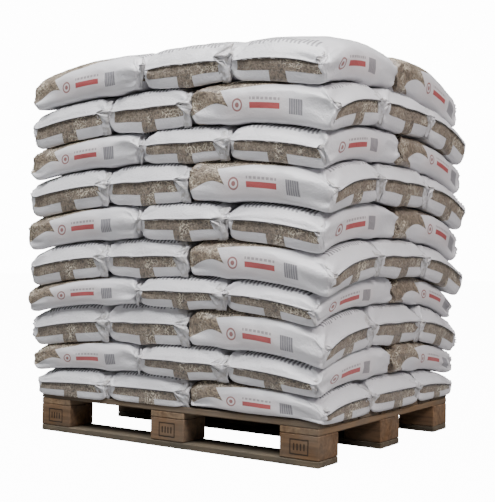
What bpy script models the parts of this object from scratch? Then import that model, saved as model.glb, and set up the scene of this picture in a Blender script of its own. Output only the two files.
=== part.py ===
"""A loaded pallet: ten laid layers of filled film sacks on a four-way wooden pallet.

Metres, +Z up. The origin is on the floor under the middle of the pallet, +X runs along its long side,
and the front is at -Y. Each layer of seven sacks is one closed solid, with the gaps between its sacks
cut into its faces, and the layers nest in one another along shared domed surfaces.
"""
import bmesh
import bpy

# Pallet, in metres
PALLET_LENGTH = 1.200
PALLET_WIDTH = 1.000
BOARD_THICKNESS = 0.022
BLOCK_HEIGHT = 0.078
DECK_BOARD_WIDTHS = (0.145, 0.100, 0.145, 0.145, 0.145, 0.100, 0.145)
STRINGER_WIDTH = 0.145
OUTER_BLOCK_WIDTH = 0.125
MIDDLE_BLOCK_WIDTH = 0.145
WOOD_CHAMFER = 0.003
SEAT_GAP = 0.0003

# Load outline before its overhang, and the seams of a plain and of a turned layer, in metres
LOAD_LEFT = -0.615
LOAD_RIGHT = 0.610
LOAD_FRONT = -0.512
LOAD_BACK = 0.520
GROUP_SEAM = {"plain": 0.090, "turned": -0.120}
PAIR_SEAM = {"plain": -0.270, "turned": 0.250}
PAIR_END_SEAM = -0.010
THIRDS_SEAMS = (-0.175, 0.205)
BEYOND_LOAD = 1.0

# Each layer from the pallet up: its thickness, and its overhang past the pallet on each side
LAYER_THICKNESS = (0.124, 0.122, 0.138, 0.104, 0.126, 0.122, 0.138, 0.118, 0.140, 0.146)
LAYER_OVERHANG = (
    {"left": 0.025, "right": 0.020, "front": 0.012, "back": 0.025},
    {"left": 0.045, "right": 0.015, "front": 0.020, "back": 0.030},
    {"left": 0.045, "right": 0.027, "front": 0.022, "back": 0.040},
    {"left": 0.068, "right": 0.012, "front": 0.034, "back": 0.040},
    {"left": 0.056, "right": 0.050, "front": 0.030, "back": 0.052},
    {"left": 0.068, "right": 0.030, "front": 0.034, "back": 0.052},
    {"left": 0.058, "right": 0.055, "front": 0.030, "back": 0.055},
    {"left": 0.056, "right": 0.035, "front": 0.030, "back": 0.052},
    {"left": 0.056, "right": 0.055, "front": 0.028, "back": 0.055},
    {"left": 0.056, "right": 0.025, "front": 0.030, "back": 0.045},
)

# How far the top of a layer droops at each side of the load and beyond that at its corners, and the
# share of it that each low layer has
DROOP = {"left": 0.022, "right": 0.035, "front": 0.047, "back": 0.052, "corner": 0.018}
DROOP_SHARE = (0.60, 0.95, 1.05, 1.10, 1.05, 1.00)
DROOP_POWER = 3.0

# The rounding of the sacks: steps in from the outer edge, and how far each is below the layer's face
RIM_STEPS = (0.0, 0.014, 0.045)
LOWER_RIM_DROPS = (0.014, 0.003, 0.0)
UPPER_RIM_DROPS = (0.055, 0.020, 0.003)
CROWN_RIM_DROPS = (0.082, 0.040, 0.010)
GROOVE_HALF_WIDTH = 0.030
GROOVE_DEPTH = 0.034
CORNER_PULL = 0.020
CORNER_REACH = 0.060

# Two places nearer than this are the same
SAME_PLACE = 1e-4
SAME_POINT = 1e-6

WOOD_FRONT = (0.230, 0.185, 0.140)
WOOD_SIDE = (0.330, 0.215, 0.130)
FILM_WHITE = (0.720, 0.720, 0.740)


def clear_scene():
    """Start from an empty file."""
    for thing in list(bpy.data.objects):
        bpy.data.objects.remove(thing, do_unlink=True)


def new_collection(name):
    """Add a collection to the scene."""
    collection = bpy.data.collections.new(name)
    bpy.context.scene.collection.children.link(collection)
    return collection


def make_material(name, colour, roughness):
    """A plain Principled material."""
    material = bpy.data.materials.new(name)
    material.use_nodes = True
    shader = material.node_tree.nodes["Principled BSDF"]
    shader.inputs["Base Color"].default_value = (*colour, 1.0)
    shader.inputs["Roughness"].default_value = roughness
    shader.inputs["Metallic"].default_value = 0.0
    return material


def add_object(name, shape, material, collection):
    """Put a finished bmesh into the scene as one named object."""
    mesh = bpy.data.meshes.new(name)
    shape.to_mesh(mesh)
    shape.free()
    mesh.materials.append(material)
    thing = bpy.data.objects.new(name, mesh)
    collection.objects.link(thing)
    return thing


def wood_piece(name, size, corner, material, collection):
    """A sawn board or block with lightly broken edges, from its lowest corner and its size."""
    shape = bmesh.new()
    bmesh.ops.create_cube(shape, size=1.0)
    bmesh.ops.scale(shape, vec=size, verts=shape.verts)
    thing = add_object(name, shape, material, collection)
    thing.location = [low + length / 2 for low, length in zip(corner, size)]
    bevel = thing.modifiers.new("Broken edges", "BEVEL")
    bevel.width = WOOD_CHAMFER
    bevel.segments = 1
    return thing


def spread(widths, total):
    """Lowest edges of boards of these widths, spaced evenly over the total width about the middle."""
    gap = (total - sum(widths)) / (len(widths) - 1)
    starts = []
    at = -total / 2
    for width in widths:
        starts.append(at)
        at += width + gap
    return starts


def build_pallet(collection):
    """Three bottom boards, nine blocks, three stringers across them and seven deck boards."""
    grey_wood = make_material("pallet_wood", WOOD_FRONT, 0.85)
    warm_wood = make_material("block_wood", WOOD_SIDE, 0.85)
    thin = BOARD_THICKNESS - SEAT_GAP
    row_widths = (OUTER_BLOCK_WIDTH, MIDDLE_BLOCK_WIDTH, OUTER_BLOCK_WIDTH)
    row_starts = spread(row_widths, PALLET_WIDTH)
    column_starts = spread((STRINGER_WIDTH,) * 3, PALLET_LENGTH)
    left = -PALLET_LENGTH / 2
    front = -PALLET_WIDTH / 2
    block_base = BOARD_THICKNESS
    stringer_base = block_base + BLOCK_HEIGHT
    deck_base = stringer_base + BOARD_THICKNESS

    for number, (start, width) in enumerate(zip(row_starts, row_widths), 1):
        size = (PALLET_LENGTH, width, thin)
        wood_piece(f"bottom_board_{number}", size, (left, start, 0.0), grey_wood, collection)
    for row, (y_start, width) in enumerate(zip(row_starts, row_widths), 1):
        for column, x_start in enumerate(column_starts, 1):
            size = (STRINGER_WIDTH, width, BLOCK_HEIGHT - SEAT_GAP)
            corner = (x_start, y_start, block_base)
            wood_piece(f"block_row_{row}_column_{column}", size, corner, warm_wood, collection)
    for number, x_start in enumerate(column_starts, 1):
        size = (STRINGER_WIDTH, PALLET_WIDTH, thin)
        wood_piece(f"stringer_board_{number}", size, (x_start, front, stringer_base), warm_wood, collection)
    deck_starts = spread(DECK_BOARD_WIDTHS, PALLET_WIDTH)
    for number, (start, width) in enumerate(zip(deck_starts, DECK_BOARD_WIDTHS), 1):
        size = (PALLET_LENGTH, width, thin)
        wood_piece(f"deck_board_{number}", size, (left, start, deck_base), grey_wood, collection)
    return deck_base + BOARD_THICKNESS


def layer_seams(kind):
    """The seams of a layer as (axis, place, from, to): two pairs of sacks beside a group of three.

    In a plain layer the pairs lie on the left with their ends to the front, and in a turned layer on
    the right, so that the sacks of each layer bridge the seams of the one below.
    """
    edge = GROUP_SEAM[kind]
    whole = (-BEYOND_LOAD, BEYOND_LOAD)
    pairs, threes = (-BEYOND_LOAD, edge), (edge, BEYOND_LOAD)
    if kind == "turned":
        pairs, threes = threes, pairs
    seams = [("x", edge, *whole), ("x", PAIR_SEAM[kind], *whole), ("y", PAIR_END_SEAM, *pairs)]
    for place in THIRDS_SEAMS:
        seams.append(("y", place, *threes))
    return seams


def cut_lines(low, high, axis):
    """The places of the loop cuts along an axis: round the rim and at both sides of every seam."""
    places = set()
    for step in RIM_STEPS[1:]:
        places.update((low + step, high - step))
    for kind in ("plain", "turned"):
        for seam_axis, place, _, _ in layer_seams(kind):
            if seam_axis == axis:
                places.update((place - GROOVE_HALF_WIDTH, place, place + GROOVE_HALF_WIDTH))
    return sorted(places)


def cut_block():
    """A box of the load's outline, loop cut at the rim and the seams of both kinds of layer.

    Every layer has the same cuts and the same diagonals, so two layers that share a surface touch
    it at the same points and never pass through each other.
    """
    shape = bmesh.new()
    bmesh.ops.create_cube(shape, size=1.0)
    size = (LOAD_RIGHT - LOAD_LEFT, LOAD_BACK - LOAD_FRONT, 2.0)
    middle = ((LOAD_LEFT + LOAD_RIGHT) / 2, (LOAD_FRONT + LOAD_BACK) / 2, 0.0)
    bmesh.ops.scale(shape, vec=size, verts=shape.verts)
    bmesh.ops.translate(shape, vec=middle, verts=shape.verts)
    cuts = [((x, 0.0, 0.0), (1.0, 0.0, 0.0)) for x in cut_lines(LOAD_LEFT, LOAD_RIGHT, "x")]
    cuts += [((0.0, y, 0.0), (0.0, 1.0, 0.0)) for y in cut_lines(LOAD_FRONT, LOAD_BACK, "y")]
    for point, normal in cuts:
        everything = shape.verts[:] + shape.edges[:] + shape.faces[:]
        bmesh.ops.bisect_plane(shape, geom=everything, dist=SAME_POINT, plane_co=point, plane_no=normal)
    for face in shape.faces[:]:
        if abs(face.normal.z) > 0.5:
            ordered = sorted(face.verts, key=lambda vertex: vertex.co.x + vertex.co.y)
            bmesh.utils.face_split(face, ordered[0], ordered[-1])
    return shape


def droop(x, y, share):
    """How far the stack has sunk here, least over its middle and most at its corners."""
    middle_x = (LOAD_LEFT + LOAD_RIGHT) / 2
    middle_y = (LOAD_FRONT + LOAD_BACK) / 2
    across = (x - middle_x) / (LOAD_RIGHT - middle_x)
    along = (y - middle_y) / (LOAD_BACK - middle_y)
    side = DROOP["left" if across < 0 else "right"] * abs(across) ** DROOP_POWER
    end = DROOP["front" if along < 0 else "back"] * abs(along) ** DROOP_POWER
    corner = DROOP["corner"] * abs(across * along) ** DROOP_POWER
    return share * (side + end + corner)


def fade(distance, reach):
    """One at no distance, falling smoothly to nothing at the reach."""
    return max(0.0, 1.0 - distance / reach) ** 2


def rim_value(inset, values):
    """The value of the rim step that a point this far in from the edge is on, and none further in."""
    for step, value in zip(RIM_STEPS, values):
        if inset < step + SAME_PLACE:
            return value
    return 0.0


def groove_depth(x, y, seams):
    """The depth of the groove at a point: full on a seam line, and nothing off it."""
    for axis, place, low, high in seams:
        across, along = (x, y) if axis == "x" else (y, x)
        on_seam = abs(across - place) < SAME_PLACE
        if on_seam and low - SAME_PLACE < along < high + SAME_PLACE:
            return GROOVE_DEPTH
    return 0.0


def corner_distance(along, axis, at_high_side, seams):
    """Distance along a side of the load to the nearest corner of a sack."""
    corners = [LOAD_LEFT, LOAD_RIGHT] if axis == "x" else [LOAD_FRONT, LOAD_BACK]
    for seam_axis, place, start, end in seams:
        reaches_side = end >= BEYOND_LOAD if at_high_side else start <= -BEYOND_LOAD
        if seam_axis == axis and reaches_side:
            corners.append(place)
    return min(abs(along - corner) for corner in corners)


def shape_layer(shape, bottom, top, seams, overhang, drops):
    """Move the cut box's points onto a layer's faces, grooves, rounded rim and overhang."""
    half_x = PALLET_LENGTH / 2
    half_y = PALLET_WIDTH / 2
    for vertex in shape.verts:
        x, y, level = vertex.co
        right, back = x > 0, y > 0
        inset_x = min(x - LOAD_LEFT, LOAD_RIGHT - x)
        inset_y = min(y - LOAD_FRONT, LOAD_BACK - y)
        inset = min(inset_x, inset_y)
        drop = max(rim_value(inset, drops[level > 0]), groove_depth(x, y, seams))
        vertex.co.z = top(x, y) - drop if level > 0 else bottom(x, y) + drop
        pull_x = CORNER_PULL * fade(corner_distance(y, "y", right, seams), CORNER_REACH)
        pull_y = CORNER_PULL * fade(corner_distance(x, "x", back, seams), CORNER_REACH)
        reach_x = half_x + overhang["right" if right else "left"] - (LOAD_RIGHT if right else -LOAD_LEFT)
        reach_y = half_y + overhang["back" if back else "front"] - (LOAD_BACK if back else -LOAD_FRONT)
        step_x = (reach_x - pull_x) * fade(max(inset_x, 0.0), CORNER_REACH)
        step_y = (reach_y - pull_y) * fade(max(inset_y, 0.0), CORNER_REACH)
        vertex.co.x = x + (step_x if right else -step_x)
        vertex.co.y = y + (step_y if back else -step_y)


def build_load(deck_top, collection):
    """Ten layers of sacks, turned about on every second one, each resting on the one below."""
    film = make_material("sack_film", FILM_WHITE, 0.35)
    count = len(LAYER_THICKNESS)
    base_level = deck_top
    base_share = 0.0
    for number, (thickness, overhang) in enumerate(zip(LAYER_THICKNESS, LAYER_OVERHANG), 1):
        level = base_level + thickness
        share = DROOP_SHARE[min(number, len(DROOP_SHARE)) - 1]

        def bottom(x, y, at=base_level, part=base_share):
            return at + SEAT_GAP - droop(x, y, part)

        def top(x, y, at=level, part=share):
            return at - SEAT_GAP - droop(x, y, part)

        drops = (LOWER_RIM_DROPS, CROWN_RIM_DROPS if number == count else UPPER_RIM_DROPS)
        seams = layer_seams("plain" if number % 2 else "turned")
        shape = cut_block()
        shape_layer(shape, bottom, top, seams, overhang, drops)
        add_object(f"sack_layer_{number:02d}", shape, film, collection)
        base_level = level
        base_share = share


clear_scene()
parts = new_collection("pallet_of_sacks")
deck_height = build_pallet(parts)
build_load(deck_height, parts)
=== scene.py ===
"""The looks of a loaded pallet: seventy laid film sacks of wood pellets on a weathered wooden pallet.

Each sack is a tube of film, closed by a weld at both ends and filled until it is pillow shaped. A point of
the film is found by two parameters: how far it is along the sack, from weld to weld, and how far round.
A sack's heading points to its banded end, where the film is clear under the weld. Its other end is blunt.
"""
import math

import bmesh
import bpy
import numpy as np
from mathutils import Matrix, Vector


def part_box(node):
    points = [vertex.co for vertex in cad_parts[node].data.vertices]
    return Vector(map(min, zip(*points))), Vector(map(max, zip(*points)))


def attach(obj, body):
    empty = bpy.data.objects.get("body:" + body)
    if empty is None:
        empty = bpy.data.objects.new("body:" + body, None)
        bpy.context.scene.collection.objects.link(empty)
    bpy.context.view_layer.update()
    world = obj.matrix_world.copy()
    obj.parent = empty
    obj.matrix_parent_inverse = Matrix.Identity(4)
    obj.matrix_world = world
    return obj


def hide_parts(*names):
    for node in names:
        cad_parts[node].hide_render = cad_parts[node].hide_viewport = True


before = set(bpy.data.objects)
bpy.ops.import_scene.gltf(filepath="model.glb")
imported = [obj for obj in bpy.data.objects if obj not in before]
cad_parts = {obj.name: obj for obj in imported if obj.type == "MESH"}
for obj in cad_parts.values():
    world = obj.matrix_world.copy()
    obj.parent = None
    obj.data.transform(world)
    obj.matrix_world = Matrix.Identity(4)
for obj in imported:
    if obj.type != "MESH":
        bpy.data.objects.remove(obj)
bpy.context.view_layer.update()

# The load, in metres, as the layers of the frame have it
LAYERS = sorted(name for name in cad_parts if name.startswith("sack_layer_"))
SEAT_GAP = 0.0003
DECK_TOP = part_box("deck_board_4")[1].z + SEAT_GAP
DECK_X = tuple(corner.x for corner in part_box("deck_board_1"))
DECK_Y = (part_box("deck_board_1")[0].y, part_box("deck_board_7")[1].y)
LOAD_X = (-0.615, 0.610)
LOAD_Y = (-0.512, 0.520)
GROUP_SEAM = {"plain": 0.090, "turned": -0.120}
PAIR_SEAM = {"plain": -0.270, "turned": 0.250}
PAIR_END_SEAM = -0.010
THIRDS_SEAMS = (-0.175, 0.205)
DROOP = {"left": 0.022, "right": 0.035, "front": 0.047, "back": 0.052, "corner": 0.018}
DROOP_SHARE = (0.0, 0.60, 0.95, 1.05, 1.10, 1.05, 1.00)
DROOP_POWER = 3.0

# The dip of a layer over each seam, how wide it is, and how far it reaches in from the load's faces
SEAM_DIP = 0.007
SEAM_DIP_WIDTH = 0.045
SEAM_DIP_REACH = 0.16

# How far the lowest film hangs past the deck's edges, and the strip in which it falls
HANG = 0.012
HANG_START = -0.001
HANG_WIDTH = 0.007

# One sack as laid, in metres, with the level of its welds as a share of its height
SACK_LENGTH = 0.530
SACK_WIDTH = 0.368
SACK_HEIGHT = 0.125
WELD_LEVEL = 0.62
UPPER = SACK_HEIGHT * (1 - WELD_LEVEL)
LOWER = SACK_HEIGHT * WELD_LEVEL
END_ZONE = 0.070
BODY_HALF = SACK_LENGTH / 2 - END_ZONE
CORNER_RADIUS = 0.020

# Its outlines above and below the welds: the shape of an end, and the powers of a side (inwards, upwards).
# Then how fast the film goes over from the upper end's outline to the lower one's on its way down a side
END_UPPER = {"lean": 0.026, "fillet": 0.020, "bow": 0.0035}
END_LOWER = {"lean": 0.017, "fillet": 0.014, "bow": 0.0040}
SIDE_UPPER = (11.0, 2.0)
SIDE_LOWER = (9.0, 2.3)
END_BLEND = 1.2

# The stretch of film before a weld where a sack grows squarer, by how much above and below the weld, and
# the powers that make its blunt end steep
SQUARE_ZONE = 0.130
SQUARER = {"above": 0.72, "below": 0.66}
BLUNT = {"above": 0.45, "below": 0.60}

# How one sack differs from the next: the gaps left in its cell, and how far it may slip and turn
END_GAP = 0.002
SIDE_GAP = 0.001
SLIP = (-0.003, 0.005)
TWIST = 0.010

# What only some sacks do: lean back at the right face, fall off to their edges in the top layer, spread on
# the deck, sag at the near corner, and show their print further along at the back of the right face
LEAN = 0.016
LEAN_START = 0.69
LEAN_ZONE = 0.30
CROWN = 0.013
SPREAD = 0.052
SAG = 0.014
SLIDE = 0.067

# Where the sliding of the print fades out: along the sack, over its top edge, and below its side
SLIDE_FADES = {"along": (0.225, 0.060), "top": (0.080, 0.050), "below": (0.080, 0.050)}

# How the corners of a weld are drawn together: how far at most, over which length, how much of it goes down
# and up at the (blunt, banded) end, and the share of it at each face of the load
PINCH = 0.019
PINCH_ZONE = 0.085
PINCH_DOWN = 1.15
PINCH_UP = (0.15, 0.65)
PINCH_SHARES = {"right": (0.3, 0.2), "left": (0.25, 1.0), "front": (0.8, 0.2), "back": (0.3, 0.2)}

# Waves of the film: height, size across, how many times longer they are along, and how many are added
SIDE_WAVES = (0.004, 0.30, 1.5, 9)
DENTS = (0.0016, 0.085, 1.6, 9)
CREASES = (0.0007, 0.030, 1.5, 14)
FIN_WAVES = (0.0008, 0.05, 1.0, 9)
WAVE_SPAN = (0.7, 1.5)

# The folds at the ends of a weld: their height, their reach, how many to a turn, how sharp, and how bent
PUCKER = 0.0080
PUCKER_REACH = 0.046
PUCKER_FOLDS = (5, 9, 14)
PUCKER_POWER = 0.6
PUCKER_BEND = 5

# Where the relief is less: next to a weld, where this share is left, and where the sacks above and below
# press the film flat, which they do less in the top layer. Levels are counted from the weld
WELD_ZONE = 0.030
WELD_RELIEF = 0.25
PRESSED_FROM = 0.35
PRESSED_ZONE = 0.125
PRESSED_FLAT = 0.9
PRESSED_ON_TOP = 0.3

# The welded edge, or fin: its height, how far it stands out, its thickness, and the jump that the film's
# map makes over it, so that the hem, which carries a painted shadow line, can be told from the film before
# it
FIN = 0.009
FIN_OUT = 0.0040
FIN_THICKNESS = 0.0012
FIN_MARK = 0.100
FIN_SHARES = (0.5, 1.0)

# An ear: the film left over at the end of a weld, crumpled into the groove beside the sack. Its size at the
# right and at the left end of a weld, seen from outside, and at the load's near corner, how far past the
# sack's side it goes, and at that corner also the share of its radius that is left
EAR_SIZE = 0.064
EAR_SMALL = 0.028
EAR_OUTER = 0.030
EAR_OVER = 0.007
EAR_OUTER_OVER = -0.010
EAR_OUTER_SHARE = 0.75

# The fan of an ear: its angles, the share of the room that it takes, the wobbles of its edge, how much it
# swells in front and behind, its pleats, how deep it is sunk into the end, its mesh and its mark on the map
EAR_ANGLES = (math.radians(-70), math.radians(52))
EAR_FILL = {"above": 0.88, "below": 0.97}
EAR_WOBBLE = ((0.004, 5), (0.003, 11))
EAR_SWELL = 0.009
EAR_BACK = 0.010
EAR_PLEAT = 0.0050
EAR_FOLDS = 6
EAR_FOLD_BEND = 1.2
EAR_FINE_FOLDS = 2.3
EAR_FINE_SHARE = 0.6
EAR_SUNK = 0.003
EAR_SUNK_ABOVE = 0.006
EAR_SUNK_ZONE = 0.015
EAR_ROWS = 9
EAR_COLUMNS = 48
EAR_MARK = 9.0

# The mesh of a sack: steps along its body, over each end, and round a quarter of it, how much closer those
# get towards its nose, and the steps that an outline is first worked out in
BODY_STEPS = 36
END_STEPS = 15
QUARTER_STEPS = 20
NOSE_DENSITY = 3.0
FINE_STEPS = 200

# The clear film at the banded end: a band under the weld and a stem that runs on from its middle, each from
# and to a distance from the weld, and a place across the sack's underside
BAND = ((-0.0015, 0.0325), (-0.173, 0.171))
STEM = ((0.0320, 0.150), (-0.037, 0.030))

# The clear window on the near long side: over an arch and before a slanted line, with a sweep that runs on
# from it and a corner under it. Places are along from the blunt end, and up from the print's middle
ARCH = {"middle": 0.100, "half": 0.098, "foot": -0.053, "rise": 0.060}
SLANT = {"start": 0.153, "slope": 0.66}
SWEEP = {"foot": 0.045, "start": 0.115, "slope": 0.12, "width": 0.110, "end": 0.400}
WINDOW_TOP = 0.075
WINDOW_UNDER = 0.083
CORNER_PATCH = {"reach": 0.006, "slope": 1.5, "level": -0.023}

# The print on the long sides: how far its middle is below the welds' level and back along the sack, where
# its ring, bar and block are along each side, and how much it is stretched
PRINT_DROP = 0.018
PRINT_BACK = 0.007
NEAR_PRINT = {"ring": 0.188, "bar": 0.289, "block": 0.400, "stretch": 1.0}
FAR_PRINT = {"ring": 0.434, "bar": 0.328, "block": 0.214, "stretch": 1.15}
EDGE = 0.0010
RING = (0.0140, 0.0195)
RING_DOT = 0.0075
BAR_HALF = 0.055
BAR_LEVELS = (-0.011, 0.007)
LINE_LEVELS = (0.0145, 0.0225)
DASH_PITCH = 0.0155
BLOCK_HALF = 0.023
BLOCK_PITCH = 0.0078

# The print on the broad faces: a row of bars, with where each may begin and end, counted from the weld
ROW_PITCH = 0.0150
ROW_HALF = 0.135
ROW_FOOT = (0.046, 0.008)
ROW_HEAD = (0.088, 0.014)

# The inks: how well each covers, and its colour
INKS = {
    "blush": (0.30, (0.72, 0.60, 0.58)),
    "ring": (0.85, (0.27, 0.075, 0.065)),
    "bar": (0.92, (0.40, 0.045, 0.045)),
    "line": (0.60, (0.17, 0.14, 0.15)),
    "block": (0.80, (0.085, 0.08, 0.10)),
    "row": (0.72, (0.10, 0.095, 0.11)),
}

# The colours of the film and of the pellets behind it
FILM_GREY = (0.66, 0.66, 0.69)
FILM_WHITE = (0.74, 0.735, 0.755)
# Painted shade for the folds of the ears
EAR_FOLD_SHADE = (0.40, 0.385, 0.37)
FILM_VEIL = (0.42, 0.42, 0.45)
# A painted shadow: near-black for the hem, as the shadow line under the weld's edge
HEM_SHADOW = (0.045, 0.04, 0.035)
PELLET_STOPS = ((0.15, (0.125, 0.094, 0.060)), (0.5, (0.215, 0.165, 0.112)), (0.85, (0.33, 0.262, 0.182)))
# Painted shade for the gaps between the pellets
PELLET_GAP_SHADE = (0.045, 0.032, 0.021)
# A painted glint, for the highlights on the creased clear film
PAINTED_GLINT = (0.92, 0.83, 0.64)

# The three directions of the pellets, each a turn, a shift of the pattern and its share of the tone, and
# the cells to a metre along and across a pellet
PELLET_TURNS = ((0.3, 0.0, 0.4), (1.35, 3.1, 0.3), (2.4, 7.7, 0.3))
PELLET_CELLS = (88.0, 165.0, 1.0)

# The woods: the axis of the grain, and the colours of the light and the dark wood
WOODS = {
    "bottom_board": (0, (0.185, 0.146, 0.100), (0.070, 0.054, 0.034)),
    "block_row": (0, (0.262, 0.152, 0.078), (0.098, 0.052, 0.024)),
    "stringer_board": (1, (0.300, 0.195, 0.108), (0.115, 0.066, 0.033)),
    "deck_board": (0, (0.200, 0.145, 0.094), (0.075, 0.052, 0.032)),
}
KNOT_WOOD = (0.035, 0.022, 0.013)
WEATHERED = (0.150, 0.138, 0.118)
GRIME = (0.040, 0.037, 0.026)
CHAR = (0.016, 0.012, 0.009)

# How wood changes from piece to piece: the least shade, the range above it, the step in that range, and the
# step in the pattern
SHADE_LEAST = 0.85
SHADE_RANGE = 0.30
SHADE_STEP = 0.618
SEED_STEP = 3.7

# The grain's waves: to a metre along and across it, how fine, and how much they wander
FIBRES = ((3.0, 85.0), 6.0, 0.0)
GROWTH_BANDS = ((0.9, 16.0), 3.0, 1.4)

# Knots: cells to a metre along and across the grain, the size of the core and of the ring in cells, and the
# share of the cells that have none
KNOT_CELLS = (4.5, 11.0)
KNOT_CORE = 0.115
KNOT_RING = 0.24
KNOT_CHANCE = 0.62

# A burnt mark: half its width and height, its level, the width of its line, and the bars inside it
MARK_HALF = (0.035, 0.025)
MARK_LEVEL = 0.060
MARK_LINE = 0.0045
MARK_BARS = (0.025, 0.011)
MARK_PITCH = 0.0125
MARK_SOFT = 0.002

# Nail heads: their size, how far they stand out of the deck and of the undersides, and where they are in
# a crossing, as shares of its length and width
NAIL_RADIUS = 0.0045
NAIL_HEIGHT = 0.0008
NAIL_DEPTH = 0.0010
NAIL_ROWS = 5
NAIL_COLUMNS = 16
PROUD_ON_DECK = 1.0
PROUD_BELOW = -0.3
DECK_NAILS = ((0.30, 0.25), (0.70, 0.72), (0.32, 0.70))
BOTTOM_NAILS = ((0.25, 0.30), (0.72, 0.38), (0.48, 0.75))

# The camera, fitted to the photograph
CAMERA_PLACE = (2.118, -3.154, 0.615)
CAMERA_AZIMUTH = 34.06
CAMERA_ELEVATION = -1.03
CAMERA_ROLL = 0.80
FOCAL_PIXELS = 986.0
IMAGE_SIZE = (495, 502)
SENSOR = 36.0

# The floor, and how brightly it and the surroundings glow for the camera, so that they run into each other,
# the part of the floor under the pallet that stays dark, and the light that the surroundings shed
FLOOR_SIZE = 120.0
FLOOR_GREY = 0.28
FLOOR_GLOW = 13.0
FLOOR_SHADE = ((0.22, 0.40), (0.12, 0.31))
SHADE_SOFT = 0.02
SKY_GLOW = 14.11
SKY_LIGHT = 0.11

# The lights: place, target, size, power and colour
LIGHTS = {
    "key": ((-2.0, -3.6, 5.4), (0.0, 0.0, 0.7), 2.4, 140.0, (0.96, 0.975, 1.0)),
    "fill": ((4.8, -1.6, 4.6), (0.0, 0.0, 0.7), 2.4, 345.0, (1.0, 0.935, 0.93)),
    "top": ((0.2, -1.6, 5.0), (0.0, 0.0, 1.0), 4.0, 400.0, (1.0, 1.0, 1.0)),
}


# Shader arithmetic

class Signal:
    """A socket of a material. Arithmetic on it adds Math nodes, and node() adds any other node."""

    def __init__(self, tree, socket):
        self.tree = tree
        self.socket = socket

    def node(self, kind, settings, inputs, output=0):
        """Add a node of this kind: first its settings, then the values or links of its sockets."""
        made = self.tree.nodes.new(kind)
        for name, value in settings.items():
            if name == "stops":
                self.set_stops(made.color_ramp, value)
            else:
                setattr(made, name, value)
        for name, value in inputs.items():
            if isinstance(value, Signal):
                self.tree.links.new(value.socket, made.inputs[name])
            else:
                made.inputs[name].default_value = value
        return Signal(self.tree, made.outputs[output])

    @staticmethod
    def set_stops(ramp, stops):
        """Give a colour ramp these (place, colour) stops."""
        while len(ramp.elements) < len(stops):
            ramp.elements.new(1.0)
        for element, (place, colour) in zip(ramp.elements, stops):
            element.position = place
            element.color = (*colour, 1.0)

    def other(self, output):
        """Another output of the node that this one comes from."""
        return Signal(self.tree, self.socket.node.outputs[output])

    def math(self, operation, first, *others):
        inputs = dict(enumerate((first, *others)))
        return self.node("ShaderNodeMath", {"operation": operation}, inputs)

    def __add__(self, other):
        return self.math("ADD", self, other)

    __radd__ = __add__

    def __sub__(self, other):
        return self.math("SUBTRACT", self, other)

    def __rsub__(self, other):
        return self.math("SUBTRACT", other, self)

    def __mul__(self, other):
        return self.math("MULTIPLY", self, other)

    __rmul__ = __mul__

    def __truediv__(self, other):
        return self.math("DIVIDE", self, other)

    def __rtruediv__(self, other):
        return self.math("DIVIDE", other, self)

    def __pow__(self, other):
        return self.math("POWER", self, other)

    def __abs__(self):
        return self.math("ABSOLUTE", self)

    def fract(self):
        return self.math("FRACT", self)

    def sign(self):
        return self.math("SIGN", self)

    def least(self, other):
        return self.math("MINIMUM", self, other)

    def most(self, other):
        return self.math("MAXIMUM", self, other)

    def clamped(self):
        return self.node("ShaderNodeClamp", {}, {"Value": self})

    def past(self, place, soft):
        """0 below a place and 1 above it, over a soft width."""
        return ((self - place) * (1.0 / soft) + 0.5).clamped()

    def within(self, low, high, soft):
        """1 between two places and 0 outside them, over a soft width."""
        return self.past(low, soft) * (1.0 - self.past(high, soft))

    def mix(self, first, second):
        """A colour that goes from the first to the second as this value goes from 0 to 1."""
        inputs = {0: self, 6: rgba(first), 7: rgba(second)}
        return self.node("ShaderNodeMix", {"data_type": "RGBA"}, inputs, 2)

    def noise(self, scale, detail, distortion=0.0):
        """A noise of this many waves to a metre, read at this place."""
        inputs = {"Vector": self, "Scale": scale, "Detail": detail, "Distortion": distortion}
        return self.node("ShaderNodeTexNoise", {}, inputs)


def rgba(colour):
    """A colour of three numbers with full cover, and any other colour as it is."""
    return (*colour, 1.0) if isinstance(colour, tuple) and len(colour) == 3 else colour


def start_material(name):
    """A new material with a Principled BSDF: (material, shader, the place of a point in metres)."""
    material = bpy.data.materials.new(name)
    material.use_nodes = True
    tree = material.node_tree
    place = Signal(tree, None).node("ShaderNodeTexCoord", {}, {}, "Object")
    return material, tree.nodes["Principled BSDF"], place


def connect(signal, shader, name):
    """Link a signal to a socket of the shader."""
    signal.tree.links.new(signal.socket, shader.inputs[name])


def bump(height, strength, distance, under=None):
    """Add a Bump node for a height signal, over another bump where there is one."""
    inputs = {"Height": height, "Strength": strength, "Distance": distance}
    if under is not None:
        inputs["Normal"] = under
    return height.node("ShaderNodeBump", {}, inputs)


# Curves of one value

def ramp(value, start, width):
    """A straight ramp, from 0 at its start to 1 a width further on."""
    return np.clip((value - start) / width, 0, 1)


def bell(distance, width):
    """A bell-shaped curve: 1 at no distance, dying away over the width."""
    return np.exp(-((distance / width) ** 2))


def sharp_wave(angle, power=1.0):
    """A wave with sharp ridges: 1 where the sine of the angle is 0, and -1 in between."""
    return 1 - 2 * np.abs(np.sin(angle)) ** power


# The shape of the load

def layer_kind(number):
    """Layers alternate, from the deck up: pairs on the left, then pairs on the right."""
    return "plain" if number % 2 else "turned"


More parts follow.
